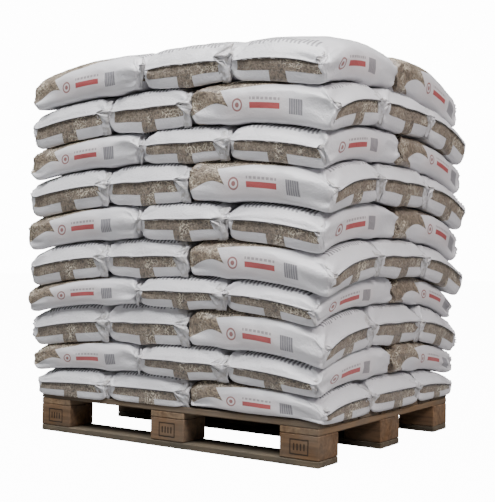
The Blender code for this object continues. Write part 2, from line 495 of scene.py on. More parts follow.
def seam_dips(x, y, number):
    """Dips of a layer's top over the seams between its sacks, out near the faces of the load."""
    if number == len(LAYERS):
        return 0.0
    kind = layer_kind(number)
    edge = GROUP_SEAM[kind]
    at_pairs = x < edge if kind == "plain" else x > edge
    near_sides = sum(bell(y - face, SEAM_DIP_REACH) for face in LOAD_Y)
    near_ends = sum(bell(x - face, SEAM_DIP_REACH) for face in LOAD_X)
    dip = np.zeros_like(x)
    for place in (edge, PAIR_SEAM[kind]):
        dip += bell(x - place, SEAM_DIP_WIDTH) * near_sides
    dip += at_pairs * bell(y - PAIR_END_SEAM, SEAM_DIP_WIDTH) * near_ends
    for place in THIRDS_SEAMS:
        dip += (1 - at_pairs) * bell(y - place, SEAM_DIP_WIDTH) * near_ends
    return SEAM_DIP * dip


def seat_height(x, y, number):
    """Height of the surface that layer `number` ends at, and the next rests on: a dome that droops with
    the cube of the distance from the middle towards each side, with a dip over each seam. Layer 0 is
    the deck, and past its edges the film of the lowest sacks hangs a little lower."""
    if number == 0:
        past_x = np.maximum(DECK_X[0] - x, x - DECK_X[1])
        past_y = np.maximum(DECK_Y[0] - y, y - DECK_Y[1])
        return DECK_TOP - HANG * ramp(np.maximum(past_x, past_y), HANG_START, HANG_WIDTH)
    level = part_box(LAYERS[number - 1])[1].z + SEAT_GAP
    middle_x = sum(LOAD_X) / 2
    middle_y = sum(LOAD_Y) / 2
    x = np.clip(x, *LOAD_X)
    y = np.clip(y, *LOAD_Y)
    across = (x - middle_x) / (LOAD_X[1] - middle_x)
    along = (y - middle_y) / (LOAD_Y[1] - middle_y)
    side = np.where(across < 0, DROOP["left"], DROOP["right"]) * np.abs(across) ** DROOP_POWER
    end = np.where(along < 0, DROOP["front"], DROOP["back"]) * np.abs(along) ** DROOP_POWER
    corner = DROOP["corner"] * np.abs(across * along) ** DROOP_POWER
    share = DROOP_SHARE[min(number, len(DROOP_SHARE) - 1)]
    return level - share * (side + end + corner) - seam_dips(x, y, number)


# The film of a sack

def quarter_outline(height, powers):
    """A quarter of a sack's section, from the middle of its flat to its nose: (share of the half width,
    share of the height, length walked). The sine and the cosine of an angle are each raised to two
    over a power, and the steps are even but for getting shorter towards the nose by the density."""
    angles = np.linspace(0, math.pi / 2, 40 * FINE_STEPS + 1)
    inward = np.sin(angles) ** (2 / powers[0])
    upward = np.clip(np.cos(angles), 0, 1) ** (2 / powers[1])
    lengths = np.hypot(np.diff(inward * SACK_WIDTH / 2), np.diff(upward * height))
    walked = np.concatenate(([0.0], np.cumsum(lengths)))
    closer = 1 + (NOSE_DENSITY - 1) * inward**2
    weighted = np.concatenate(([0.0], np.cumsum(lengths * (closer[1:] + closer[:-1]) / 2)))
    at = np.interp(np.linspace(0, weighted[-1], QUARTER_STEPS + 1), weighted, walked)
    return np.interp(at, walked, inward), np.interp(at, walked, upward), at


def end_outline(height, shape):
    """The outline of an end, from where the body stops to the weld: (share of the half length, share of
    the height, length walked). A straight face leans out to the weld by `lean` and bows out a little,
    and a round fillet joins it to the flat."""
    half = SACK_LENGTH / 2
    corner = np.array((half - shape["lean"], height))
    weld = np.array((half, 0.0))
    down = (weld - corner) / np.linalg.norm(weld - corner)
    turn = math.acos(down[0])
    reach = shape["fillet"] * math.tan(turn / 2)
    centre = corner - np.array((reach, shape["fillet"]))
    angles = np.linspace(0, turn, FINE_STEPS)[:, None]
    arc = centre + shape["fillet"] * np.concatenate((np.sin(angles), np.cos(angles)), axis=1)
    flat = np.linspace((BODY_HALF, height), arc[0], FINE_STEPS)[:-1]
    share = np.linspace(0, 1, 2 * FINE_STEPS)[1:, None]
    outward = np.array((-down[1], down[0]))
    face = arc[-1] + (weld - arc[-1]) * share + outward * shape["bow"] * np.sin(math.pi * share)
    path = np.concatenate((flat, arc, face))
    walked = np.concatenate(([0.0], np.cumsum(np.hypot(*np.diff(path, axis=0).T))))
    at = np.linspace(0, walked[-1], END_STEPS + 1)
    return np.interp(at, walked, path[:, 0]) / half, np.interp(at, walked, path[:, 1]) / height, at


# Lengths of film: over an end, from the middle to a weld, and from the top to the nose and on to the middle
# of the underside, and how much longer the film under an end is than the film over it
END_FILM = float(end_outline(UPPER, END_UPPER)[2][-1])
HALF_FILM = BODY_HALF + END_FILM
TOP_QUARTER = float(quarter_outline(UPPER, SIDE_UPPER)[2][-1])
LOW_QUARTER = float(quarter_outline(LOWER, SIDE_LOWER)[2][-1])
LOW_STRETCH = float(end_outline(LOWER, END_LOWER)[2][-1]) / END_FILM - 1


def film_rows():
    """Rows of film from weld to weld: (place of the upper film, its rise, place of the lower film,
    its fall, length of film). The body is walked in even steps, and over each end the upper and the
    lower film are each walked in even steps down or up to the weld."""
    body = np.linspace(-1, 1, BODY_STEPS + 1) * BODY_HALF / (SACK_LENGTH / 2)
    rows = []
    for height, shape in ((UPPER, END_UPPER), (LOWER, END_LOWER)):
        place, rise, _ = end_outline(height, shape)
        rows.append(np.concatenate((-place[:0:-1], body, place[1:])))
        rows.append(np.concatenate((rise[:0:-1], np.ones_like(body), rise[1:])))
    film = BODY_HALF + END_FILM * np.linspace(0, 1, END_STEPS + 1)[1:]
    middle = np.linspace(-BODY_HALF, BODY_HALF, BODY_STEPS + 1)
    return (*rows, np.concatenate((-film[::-1], middle, film)))


def film_columns():
    """Columns of film round the sack, from the middle of its top, down the near side, under it and up
    the far side: (place across, rise, whether on the upper film, length of film from the top)."""
    across, rise, walked = quarter_outline(UPPER, SIDE_UPPER)
    across_low, fall, walked_low = quarter_outline(LOWER, SIDE_LOWER)
    place = np.concatenate((across, across_low[-2::-1]))
    share = np.concatenate((rise, fall[-2::-1]))
    film = np.concatenate((walked, TOP_QUARTER + LOW_QUARTER - walked_low[-2::-1]))
    place = np.concatenate((place, -place[-2:0:-1]))
    share = np.concatenate((share, share[-2:0:-1]))
    film = np.concatenate((film, -film[-2:0:-1]))
    column = np.arange(len(film))
    upper = (column < QUARTER_STEPS) | (column > 3 * QUARTER_STEPS)
    return place, share, upper, film


OVER, RISE, UNDER, FALL, FILM_ALONG = film_rows()
ACROSS, SHARE, ON_UPPER, FILM_ROUND = film_columns()
HALF_ROUND = 2 * QUARTER_STEPS


# The shape of one sack

def ripples(along, around, rng, height, size, stretch, count):
    """A smooth random relief about `height` high: a sum of cosines of the film's two places, with random
    headings and phases, whose waves are about `size` long across and `stretch` times that along."""
    total = np.zeros(np.broadcast(along, around).shape)
    for _ in range(count):
        heading = rng.uniform(0, 2 * math.pi)
        wave = 2 * math.pi / (size * rng.uniform(*WAVE_SPAN))
        phase = rng.uniform(0, 2 * math.pi)
        total += np.cos(wave * (math.cos(heading) * along / stretch + math.sin(heading) * around) + phase)
    return height * (total / math.sqrt(count * 2))


def puckers(along, around, rng, at_end, at_side):
    """Folds that run out of the end of a weld, like the spokes of a fan: a sharp wave of the angle
    about that point of the film, which rises at once and dies away over a hand's width."""
    from_weld = HALF_FILM - at_end * along
    from_side = around - at_side * TOP_QUARTER
    reach = np.hypot(from_weld, from_side)
    angle = np.arctan2(from_side, from_weld)
    folds = np.zeros_like(reach)
    for count in PUCKER_FOLDS:
        turn = rng.uniform(0, 2 * math.pi)
        bend = PUCKER_BEND * rng.uniform(-1, 1)
        folds += sharp_wave(count * angle / 2 + turn + bend * reach, PUCKER_POWER) * PUCKER_FOLDS[0] / count
    return PUCKER * folds * (reach / PUCKER_REACH * np.exp(1 - reach / PUCKER_REACH))


def fill_cell(sack, along_film, around_film, rng):
    """The smooth shape of a filled sack in its cell of a layer: (points, share of the height).

    Its outline along and across is a rounded box, whose height is measured from the weld's level and
    stretched between the surfaces that the layer below and its own layer end at. Towards a weld the
    outline grows squarer, and at the blunt end also steeper. Then the sack leans back, spreads, waves
    its sides, slips, turns, is drawn together at the ends of its welds, and sags.
    """
    turned = np.cos(np.arange(len(ACROSS)) * math.pi / HALF_ROUND)
    top_share = np.clip(0.5 + END_BLEND * turned, 0, 1)[None, :]
    along = UNDER[:, None] * (1 - top_share) + OVER[:, None] * top_share
    across = ACROSS[None, :]
    rise = np.where(FILM_ALONG < 0, RISE ** BLUNT["above"], RISE)[:, None]
    fall = np.where(FILM_ALONG < 0, FALL ** BLUNT["below"], FALL)[:, None]
    near_end = ramp(np.abs(FILM_ALONG), HALF_FILM - SQUARE_ZONE, SQUARE_ZONE)[:, None]
    lift = np.where(ON_UPPER, rise * SHARE ** (1 - SQUARER["above"] * near_end), 0.0)
    sink = np.where(ON_UPPER, 0.0, fall * SHARE ** (1 - SQUARER["below"] * near_end))
    height = WELD_LEVEL + (1 - WELD_LEVEL) * lift - WELD_LEVEL * sink

    half_length = sack["half_length"]
    x_local = half_length * along
    above = ramp(height, WELD_LEVEL, 1 - WELD_LEVEL)
    x_local = x_local - sack["lean"] * above * ramp(along, LEAN_START, LEAN_ZONE)
    into_corner = ramp(np.abs(x_local), half_length - CORNER_RADIUS, CORNER_RADIUS)
    narrowing = CORNER_RADIUS * (1 - np.sqrt(1 - into_corner**2))
    spread = 1 + sack["spread"] * sink**2
    y_local = (sack["half_width"] - narrowing) * across * spread
    y_local = y_local + ripples(along_film, around_film, rng, *SIDE_WAVES)
    x_local = x_local * spread + sack["slip"]
    y_local = y_local + sack["twist"] * x_local
    plan = sack["middle"] + x_local[..., None] * sack["heading"] + y_local[..., None] * sack["facing"]
    x, y = plan[..., 0], plan[..., 1]

    low = seat_height(x, y, sack["layer"] - 1) + SEAT_GAP
    high = seat_height(x, y, sack["layer"]) - SEAT_GAP
    high = high - sack["crown"] * (np.abs(along) ** 3 + np.abs(across) ** 3)
    for at_end, share, up in zip((-1, 1), sack["pinch"], PINCH_UP):
        close = ramp(at_end * x_local, half_length - PINCH_ZONE, PINCH_ZONE) ** 2
        close = PINCH * share * close * np.abs(across) ** 6
        high = high - close * PINCH_DOWN
        low = low + close * up
    sag = np.clip(across, 0, 1) ** 2 * np.clip(along, 0, 1) ** 6 * 4 * height * (1 - height)
    z = low + height * (high - low) - sack["sag"] * sag
    return np.stack((x, y, z), axis=-1), height


def lay_sack(sack, rng):
    """The points of one sack in its cell: its filled shape, with dents, creases and puckers raised along
    its normals, less so next to the welds and where it is pressed flat, and its two fins."""
    along_film, around_film = np.broadcast_arrays(FILM_ALONG[:, None], FILM_ROUND[None, :])
    points, height = fill_cell(sack, along_film, around_film, rng)
    relief = ripples(along_film, around_film, rng, *DENTS)
    relief = relief + ripples(along_film, around_film, rng, *CREASES)
    for at_end in (-1, 1):
        for at_side in (-1, 1):
            relief = relief + puckers(along_film, around_film, rng, at_end, at_side)
    pressed = sack["pressed"] * ramp(np.abs(height - WELD_LEVEL), PRESSED_FROM, PRESSED_ZONE)
    from_weld = ramp(HALF_FILM - np.abs(along_film), 0.0, WELD_ZONE)
    relief = relief * (1 - PRESSED_FLAT * pressed) * (WELD_RELIEF + (1 - WELD_RELIEF) * from_weld)
    points = points + surface_normals(points, sack["middle"]) * relief[..., None]
    return add_fins(points, sack["heading"], rng)


def surface_normals(points, middle):
    """Unit normals of a grid of points that is closed round its second parameter, facing out."""
    down = np.gradient(points, axis=0)
    wrapped = np.concatenate((points[:, -1:], points, points[:, :1]), axis=1)
    across = (wrapped[:, 2:] - wrapped[:, :-2]) / 2
    normal = np.cross(down, across)
    length = np.linalg.norm(normal, axis=-1, keepdims=True)
    normal = normal / np.maximum(length, 1e-12)
    centre = np.array((*middle, points[..., 2].mean()))
    outward = ((points - centre) * normal).sum() > 0
    return normal if outward else -normal


def add_fins(points, heading, rng):
    """Hang the welded edge of the film from both ends: two more rows, that go out and down, and less
    so towards the ends of the weld. Also gives the rows' places along the film."""
    wave = ripples(np.zeros_like(ACROSS), ACROSS * SACK_WIDTH / 2, rng, *FIN_WAVES)[:, None]
    outward = np.array((*heading, 0.0))
    down = np.array((0.0, 0.0, -1.0))
    taper = (1 - np.abs(ACROSS) ** 12)[:, None]
    thickness = np.where(ON_UPPER, FIN_THICKNESS, 0.0)[:, None]
    fins = []
    for sign, root in ((-1, points[0]), (1, points[-1])):
        for share in FIN_SHARES:
            out = FIN_OUT * (0.6 + 0.4 * share) + wave * share + thickness * (1 - share)
            fins.append(root + taper * (sign * outward * out + down * FIN * share))
    rows = np.concatenate((fins[1::-1], points, fins[2:]))
    ends = HALF_FILM + FIN_MARK + FIN * np.array(FIN_SHARES)
    return rows, np.concatenate((-ends[::-1], FILM_ALONG, ends))


def lay_ear(sack, at_end, at_side, size, rng):
    """The crumpled film at one end of a weld, as a closed fan that fills the groove beside the sack.

    A point is found by its share of the radius and by an angle that goes round the front of the fan
    and back behind it. The radius reaches to an upright line beside the sack, or to the sacks above
    and below, and the face is pleated by sharp waves of the angle that run out of the weld's end.
    """
    radius = np.linspace(0, 1, EAR_ROWS)[:, None]
    turn = np.linspace(0, 2 * math.pi, EAR_COLUMNS, endpoint=False)[None, :]
    front = turn < math.pi
    sweep = np.where(front, turn / math.pi, 2 - turn / math.pi)
    angle = EAR_ANGLES[0] + (EAR_ANGLES[1] - EAR_ANGLES[0]) * sweep
    heading = np.array((*sack["heading"], 0.0))
    facing = np.array((*sack["facing"], 0.0))
    corner = at_end * sack["half_length"] * heading + at_side * sack["half_width"] * facing
    x, y = (sack["middle"] + corner[:2])[:, None]
    low, high = (seat_height(x, y, number)[0] for number in (sack["layer"] - 1, sack["layer"]))
    tall = high - low

    fill = np.where(angle < 0, EAR_FILL["below"] * WELD_LEVEL, EAR_FILL["above"] * (1 - WELD_LEVEL))
    phases = rng.uniform(0, 2 * math.pi, 4)
    wobble = sum(rise * np.sin(waves * angle + phase) for (rise, waves), phase in zip(EAR_WOBBLE, phases))
    to_line = (size + wobble) / np.cos(angle)
    to_sacks = fill * tall / np.maximum(np.abs(np.sin(angle)), 0.01)
    reach = radius * np.minimum(to_line, to_sacks)
    folded = EAR_FOLDS * sweep * math.pi / 2
    pleats = sharp_wave(folded + phases[2] + EAR_FOLD_BEND * radius)
    pleats = pleats + EAR_FINE_SHARE * sharp_wave(EAR_FINE_FOLDS * folded + phases[3] - radius)
    swell = np.sin(math.pi * radius**0.8)
    face = EAR_SWELL * swell + EAR_PLEAT * pleats * swell**0.5
    depth = np.where(front, face, -EAR_BACK * swell) * np.sin(math.pi * sweep) ** 0.4

    outer = size == EAR_OUTER
    reach = reach * (EAR_OUTER_SHARE if outer else 1.0)
    over = EAR_OUTER_OVER if outer else EAR_OVER
    beside = at_side * (sack["half_width"] + over - size + reach * np.cos(angle))
    above = reach * np.sin(angle)
    lean = np.where(above > 0, END_UPPER["lean"] + sack["lean"], END_LOWER["lean"])
    room = tall * np.where(above > 0, 1 - WELD_LEVEL, WELD_LEVEL)
    sunk = EAR_SUNK + EAR_SUNK_ABOVE * ramp(above, 0.0, EAR_SUNK_ZONE)
    out = sack["half_length"] - sunk - lean * np.abs(above) / room + depth + at_end * sack["slip"]
    points = np.array((*sack["middle"], low + WELD_LEVEL * tall))
    points = points + at_end * out[..., None] * heading + beside[..., None] * facing
    points[..., 2] += above
    return points


def slid_print(film_along, film_round, slide):
    """How far along the sack each point of the film says it is. The print of the near side slides by
    `slide` towards the banded end, and the film past the print takes that up."""
    along = 1 - ramp(film_along, *SLIDE_FADES["along"])
    below = ramp(film_round - TOP_QUARTER, *SLIDE_FADES["below"])
    beside = ramp(film_round, *SLIDE_FADES["top"]) * (1 - below)
    return film_along[:, None] - slide * along[:, None] * beside[None, :]


# The meshes

def tube_faces(index):
    """Four-cornered faces between the rows of a grid of points that is closed along its last axis."""
    ahead = np.roll(index, -1, axis=-1)
    rows = (index[..., :-1, :], index[..., 1:, :], ahead[..., 1:, :], ahead[..., :-1, :])
    return np.stack(rows, axis=-1).reshape(-1, 4)


def film_map(film_along, slide):
    """The film's two places at the corners of every face of a sack. The place round the sack turns from
    most to least in the middle of the underside, so each face takes it from its own side."""
    begin = FILM_ROUND.copy()
    begin[HALF_ROUND] = -begin[HALF_ROUND]
    finish = np.roll(FILM_ROUND, -1)
    here, there = (
        np.stack(np.broadcast_arrays(slid_print(film_along, edge, slide), edge), axis=-1)
        for edge in (begin, finish)
    )
    return np.stack((here[:-1], here[1:], there[1:], there[:-1]), axis=2).reshape(-1, 2)


def sack_mesh(name, points, film_along, slide, ears):
    """Join a grid of film points into a closed tube, with its two end rows folded flat and welded, and
    add the ears, with their rims folded flat and their film marked as an ear's."""
    column = np.arange(len(FILM_ROUND))
    partner = np.where(ON_UPPER, column, (HALF_ROUND - column) % len(column))
    index = np.arange(points[..., 0].size).reshape(points.shape[:2])
    for row in (0, -1):
        points[row] = points[row][partner]
        index[row] = index[row][partner]
    all_points = [points.reshape(-1, 3)]
    all_faces = [tube_faces(index)]
    all_film = [film_map(film_along, slide)]
    count = index.size
    for ear in ears:
        turn = np.arange(EAR_COLUMNS)
        ear[-1] = ear[-1][np.where(turn > EAR_COLUMNS // 2, EAR_COLUMNS - turn, turn)]
        index = count + np.arange(EAR_ROWS * EAR_COLUMNS).reshape(EAR_ROWS, EAR_COLUMNS)
        count += index.size
        faces = tube_faces(index)
        all_points.append(ear.reshape(-1, 3))
        all_faces.append(faces)
        all_film.append(np.full((faces.size, 2), EAR_MARK))
    return grid_mesh(name, np.concatenate(all_points), np.concatenate(all_faces), np.concatenate(all_film))


def grid_mesh(name, points, faces, film=None):
    """A mesh object from an array of points and one of four-cornered faces, with its welded points
    merged and every face turned to the outside."""
    mesh = bpy.data.meshes.new(name)
    mesh.from_pydata(points.tolist(), [], faces.tolist())
    if film is not None:
        layer = mesh.uv_layers.new(name="film")
        layer.data.foreach_set("uv", film.astype(np.float32).ravel())
    mesh.shade_smooth()
    shape = bmesh.new()
    shape.from_mesh(mesh)
    bmesh.ops.remove_doubles(shape, verts=shape.verts, dist=1e-6)
    loose = [vertex for vertex in shape.verts if not vertex.link_faces]
    bmesh.ops.delete(shape, geom=loose, context="VERTS")
    bmesh.ops.recalc_face_normals(shape, faces=shape.faces)
    shape.to_mesh(mesh)
    shape.free()
    thing = bpy.data.objects.new(name, mesh)
    bpy.context.scene.collection.objects.link(thing)
    return thing


# The finishes

def film_material():
    """White printed film with clear windows over the pellets, all placed by the film's own map."""
    material, shader, place = start_material("sack_film")
    film = place.node("ShaderNodeUVMap", {"uv_map": "film"}, {})
    u = film.node("ShaderNodeSeparateXYZ", {}, {"Vector": film})
    v = u.other("Y")
    ear = u.past(EAR_MARK / 2, 0.1)
    weld = HALF_FILM - u
    along = u + SACK_LENGTH / 2 + PRINT_BACK
    height = TOP_QUARTER - v + PRINT_DROP
    at_band = banded_end(v, weld)
    clear = at_band.most(near_window(v, along, height)) * (1.0 - ear)

    past_body = (abs(u) - BODY_HALF).most(0.0) * abs(v).past(TOP_QUARTER, 0.001)
    along_true = u + u.sign() * past_body * LOW_STRETCH
    grain = film.node("ShaderNodeCombineXYZ", {}, {"X": along_true, "Y": v})
    rods, tone = pellet_rods(grain)

    cloud = place.noise(11.0, 2.0)
    folds = place.noise(60.0, 3.0)
    # In the ears, darker grey patches along the folds are painted shade in the crumples
    base = ear.mix(cloud.mix(FILM_GREY, FILM_WHITE), folds.past(0.52, 0.3).mix(FILM_GREY, EAR_FOLD_SHADE))
    shown = pellet_colour(place, rods, tone, along, height)
    base = clear.mix(base, (0.08 + 0.05 * at_band).mix(shown, FILM_VEIL))
    base = side_print(base, along, height, clear, NEAR_PRINT)
    base = side_print(base, along, TOP_QUARTER + v + PRINT_DROP, clear, FAR_PRINT)
    base = broad_print(base, weld, v)
    # Painted shadow: the lower part of the fin is near-black, as the shadow line under the weld's edge
    hem_shadow = (abs(u) - HALF_FILM).past(FIN_MARK - 0.0025, 0.006) * (1.0 - ear)
    connect((hem_shadow * 0.88).mix(base, HEM_SHADOW), shader, "Base Color")
    shader.inputs["Coat Weight"].default_value = 0.35
    shader.inputs["Coat Roughness"].default_value = 0.14
    connect(0.30 + place.noise(30.0, 2.0) * 0.16 + clear * 0.05, shader, "Roughness")

    fine = bump(rods * (0.20 + clear * 0.80), 0.55, 0.0020)
    near_end = (abs(u).past(HALF_FILM - 0.085, 0.11)).most(ear)
    crumple = (1.0 - abs(folds * 2.0 - 1.0) * 3.0).clamped()
    creased = bump(crumple * (0.25 + near_end * 0.75), 0.45, 0.0022, fine)
    connect(bump(place.noise(24.0, 3.0), 0.40, 0.004, creased), shader, "Normal")
    return material


def banded_end(v, weld):
    """Where the lower film is clear at the banded end: a band under the weld, with a stem."""
    lateral = (TOP_QUARTER + LOW_QUARTER - abs(v)) * v.sign()
    band, stem = (weld.within(*ends, EDGE) * lateral.within(*sides, EDGE) for ends, sides in (BAND, STEM))
    return abs(v).past(TOP_QUARTER, 0.0008) * band.most(stem)


def near_window(v, along, height):
    """Where the film of the near long side is clear: over half an ellipse and before a slanted line,
    along a sweep that narrows towards its far end, and in a corner below."""
    arch_along = (along - ARCH["middle"]) / ARCH["half"]
    arch = ARCH["foot"] + ARCH["rise"] * (1.0 - (arch_along * arch_along).least(1.0)) ** 0.5
    slant = SLANT["start"] - SLANT["slope"] * height - along
    window = (height - arch).past(0.0, EDGE) * slant.past(0.0, EDGE)
    window = window * (1.0 - height.past(WINDOW_TOP, EDGE))
    sweep_low = SWEEP["foot"] + (along - SWEEP["start"]) * SWEEP["slope"]
    sweep_high = sweep_low + SWEEP["width"] * (1.0 - along / SWEEP["end"])
    sweep = (height - sweep_low).past(0.0, EDGE) * (sweep_high - height).past(0.0, EDGE)
    sweep = sweep * along.within(-0.2, SWEEP["end"], EDGE)
    low = CORNER_PATCH["level"]
    corner = CORNER_PATCH["reach"] - CORNER_PATCH["slope"] * (height - low) - along
    corner = corner.past(0.0, EDGE) * (low - height).past(0.0, EDGE)
    on_near = v.past(0.0, 0.001) * (1.0 - abs(v).past(TOP_QUARTER + WINDOW_UNDER, EDGE))
    return on_near * window.most(sweep).most(corner)


def printed(base, mask, ink):
    """Print one of the inks over the base colour where the mask is 1."""
    cover, colour = INKS[ink]
    return (mask * cover).mix(base, colour)


def side_print(base, along, height, clear, sizes):
    """The print on a long side: rings, a thin broken line over a red bar, and a block of bars."""
    white = 1.0 - clear
    blush = (along - sizes["bar"]).within(-0.160, 0.085, 0.060) * height.within(-0.040, 0.030, 0.030)
    base = printed(base, blush * white, "blush")
    ring, bar, block = ((along - sizes[name]) / sizes["stretch"] for name in ("ring", "bar", "block"))
    distance = (ring * ring + height * height) ** 0.5
    rings = distance.within(*RING, EDGE).most(distance.within(0.0, RING_DOT, EDGE))
    base = printed(base, rings * white, "ring")
    on_bar = bar.within(-BAR_HALF, BAR_HALF, EDGE)
    base = printed(base, on_bar * height.within(*BAR_LEVELS, EDGE) * white, "bar")
    dashes = (bar / DASH_PITCH).fract().within(0.12, 0.80, 0.08)
    base = printed(base, on_bar * height.within(*LINE_LEVELS, EDGE) * dashes * white, "line")
    bars = 0.60 + 0.40 * (block / BLOCK_PITCH).fract().within(0.10, 0.62, 0.15)
    square = block.within(-BLOCK_HALF, BLOCK_HALF, EDGE) * height.within(-BLOCK_HALF, BLOCK_HALF, EDGE)
    return printed(base, square * bars * white, "block")


def broad_print(base, weld, v):
    """The print on both broad faces: a plain row of dark upright bars next to the banded end, each of
    which begins and ends at a place of its own."""
    count = v / ROW_PITCH
    settings = {"noise_dimensions": "1D"}
    chance = count.node("ShaderNodeTexWhiteNoise", settings, {"W": count.math("FLOOR", count)})
    foot = ROW_FOOT[0] + ROW_FOOT[1] * (chance * 3.7).fract()
    head = ROW_HEAD[0] + ROW_HEAD[1] * chance
    rows = weld.past(foot, 0.0015) * (1.0 - weld.past(head, 0.0015))
    bars = count.fract().within(0.14, 0.66, 0.08)
    return printed(base, bars * rows * v.within(-ROW_HALF, ROW_HALF, 0.001), "row")


def pellet_rods(grain):
    """Short rods in three directions: a stretched cell pattern each, the highest of which shows. Gives
    the height of the highest, and a tone that changes from rod to rod."""
    heights, tones = [], []
    for turn, shift, share in PELLET_TURNS:
        settings = {"vector_type": "TEXTURE"}
        turned = grain.node("ShaderNodeMapping", settings, {"Vector": grain, "Rotation": (0.0, 0.0, turn)})
        stretch = {"Vector": turned, "Location": (shift, shift, 0.0), "Scale": PELLET_CELLS}
        pattern = {"Vector": grain.node("ShaderNodeMapping", {}, stretch), "Scale": 1.0, "Randomness": 0.9}
        distance = grain.node("ShaderNodeTexVoronoi", {"voronoi_dimensions": "2D"}, pattern)
        tone = grain.node("ShaderNodeSeparateColor", {}, {"Color": distance.other("Color")})
        heights.append(1.0 - distance * 1.5 + tone * 0.7)
        tones.append(tone * share)
    return heights[0].most(heights[1]).most(heights[2]), tones[0] + tones[1] + tones[2]


def pellet_colour(place, rods, tone, along, height):
    """Brown pellets of several shades, with painted shade in the gaps between them and painted glints where
    the clear film creases.
    """
    shade = tone.node("ShaderNodeValToRGB", {"stops": PELLET_STOPS}, {"Fac": tone})
    # Painted shade: the gaps between the pellets are darkened
    gap_shade = 1.0 - rods.past(0.78, 0.50)
    brown = (gap_shade * 0.75).mix(shade, PELLET_GAP_SHADE)
    # Painted highlights: thin pale lines in patches, most near the window's end and over its top
    painted_glint = (1.0 - abs(place.noise(85.0, 1.0) * 2.0 - 1.0) * 9.0).clamped()
    at_end = (1.0 - along.past(0.045, 0.06)).most(height.past(0.030, 0.03))
    glint_patches = place.noise(17.0, 1.0).past(0.50, 0.12) * (0.25 + 0.75 * at_end)
    return (painted_glint * glint_patches).mix(brown, PAINTED_GLINT)


def wood_material(name, grain, light, dark, seed, mark=None):
    """Sawn softwood: long fibres along one axis, growth bands, knots, grey weathering in patches, grime
    near the floor, and on some blocks a plain burnt frame with short bars in it."""
    material, shader, place = start_material(name)
    fibre = wood_noise(place, grain, seed, *FIBRES)
    bands = wood_noise(place, grain, seed * 1.7, *GROWTH_BANDS)
    stain = place.noise(8.0, 5.0)
    tone = (fibre * 0.75 + bands * 0.75 - 0.28).clamped()
    colour = tone.node("ShaderNodeValToRGB", {"stops": ((0.22, dark), (0.72, light))}, {"Fac": tone})

    scale = [KNOT_CELLS[1]] * 3
    scale[grain] = KNOT_CELLS[0]
    inputs = {"Vector": place, "Scale": tuple(scale), "Location": (seed,) * 3}
    spots = place.node("ShaderNodeMapping", {}, inputs)
    knot = spots.node("ShaderNodeTexVoronoi", {}, {"Vector": spots, "Scale": 1.0})
    chance = knot.node("ShaderNodeSeparateColor", {}, {"Color": knot.other("Color")})
    chance = chance.past(KNOT_CHANCE, 0.02)
    colour = (knot.within(KNOT_CORE, KNOT_RING, 0.08) * chance * 0.35).mix(colour, dark)
    colour = ((1.0 - knot.past(KNOT_CORE, 0.05)) * chance * 0.80).mix(colour, KNOT_WOOD)

    colour = (stain.past(0.50, 0.35) * 0.45).mix(colour, WEATHERED)
    height = place.node("ShaderNodeSeparateXYZ", {}, {"Vector": place}).other("Z")
    low_down = 1.0 - height.past(0.030, 0.05)
    colour = (low_down * stain.past(0.42, 0.3) * 0.55).mix(colour, GRIME)
    if mark is not None:
        colour = (burnt_frame(place, *mark) * 0.85).mix(colour, CHAR)
    connect(colour, shader, "Base Color")
    connect(0.70 + fibre * 0.25, shader, "Roughness")
    shader.inputs["Specular IOR Level"].default_value = 0.25
    connect(bump(bands, 0.35, 0.004, bump(fibre, 0.65, 0.0025)), shader, "Normal")
    return material


def wood_noise(place, grain, seed, stretch, detail, twist):
    """A noise that is long along the grain and short across it."""
    scale = [stretch[1]] * 3
    scale[grain] = stretch[0]
    inputs = {"Vector": place, "Scale": tuple(scale), "Location": (seed, seed * 1.7, seed * 0.6)}
    return place.node("ShaderNodeMapping", {}, inputs).noise(1.0, detail, twist)


def burnt_frame(place, middle, front):
    """A plain burnt mark on the front of a block: an outline of a rectangle round a few short bars."""
    x = place.node("ShaderNodeSeparateXYZ", {}, {"Vector": place})
    rough = place.noise(60.0, 2.0) * 0.003 - 0.0015
    across = x - middle + rough
    up = x.other("Z") - MARK_LEVEL + rough

    def box(half_width, half_height):
        inside = across.within(-half_width, half_width, MARK_SOFT)
        return inside * up.within(-half_height, half_height, MARK_SOFT)

    wide, tall = MARK_HALF
    frame_line = box(wide, tall) * (1.0 - box(wide - MARK_LINE, tall - MARK_LINE))
    bars = (across / MARK_PITCH).fract().within(0.25, 0.70, 0.15) * box(*MARK_BARS)
    return frame_line.most(bars) * (1.0 - x.other("Y").past(front + 0.002, 0.001))


def nail_material():
    """Dull steel with rust in patches."""
    material, shader, place = start_material("nail_steel")
    rust = place.noise(160.0, 3.0)
    patches = rust.past(0.50, 0.2)
    connect(patches.mix((0.26, 0.24, 0.22), (0.13, 0.060, 0.030)), shader, "Base Color")
    connect(0.9 - patches * 0.8, shader, "Metallic")
    connect(0.45 + rust * 0.4, shader, "Roughness")
    return material


# The pieces

def cells_of(number):
    """The seven cells of a layer: two pairs with their ends to the front and the back, and three
    sacks side by side. Each is (west, east, south, north, heading)."""
    low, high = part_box(LAYERS[number - 1])
    kind = layer_kind(number)
    edge = GROUP_SEAM[kind]
    pair = PAIR_SEAM[kind]
    pair_bounds = (low.x, pair, edge) if kind == "plain" else (edge, pair, high.x)
    three_bounds = (edge, high.x) if kind == "plain" else (low.x, edge)
    cells = []
    for west, east in zip(pair_bounds, pair_bounds[1:]):
        cells.append((west, east, low.y, PAIR_END_SEAM, (0.0, -1.0)))
        cells.append((west, east, PAIR_END_SEAM, high.y, (0.0, 1.0)))
    rows = (low.y, *THIRDS_SEAMS, high.y)
    for south, north in zip(rows, rows[1:]):
        cells.append((*three_bounds, south, north, (1.0, 0.0)))
    return cells


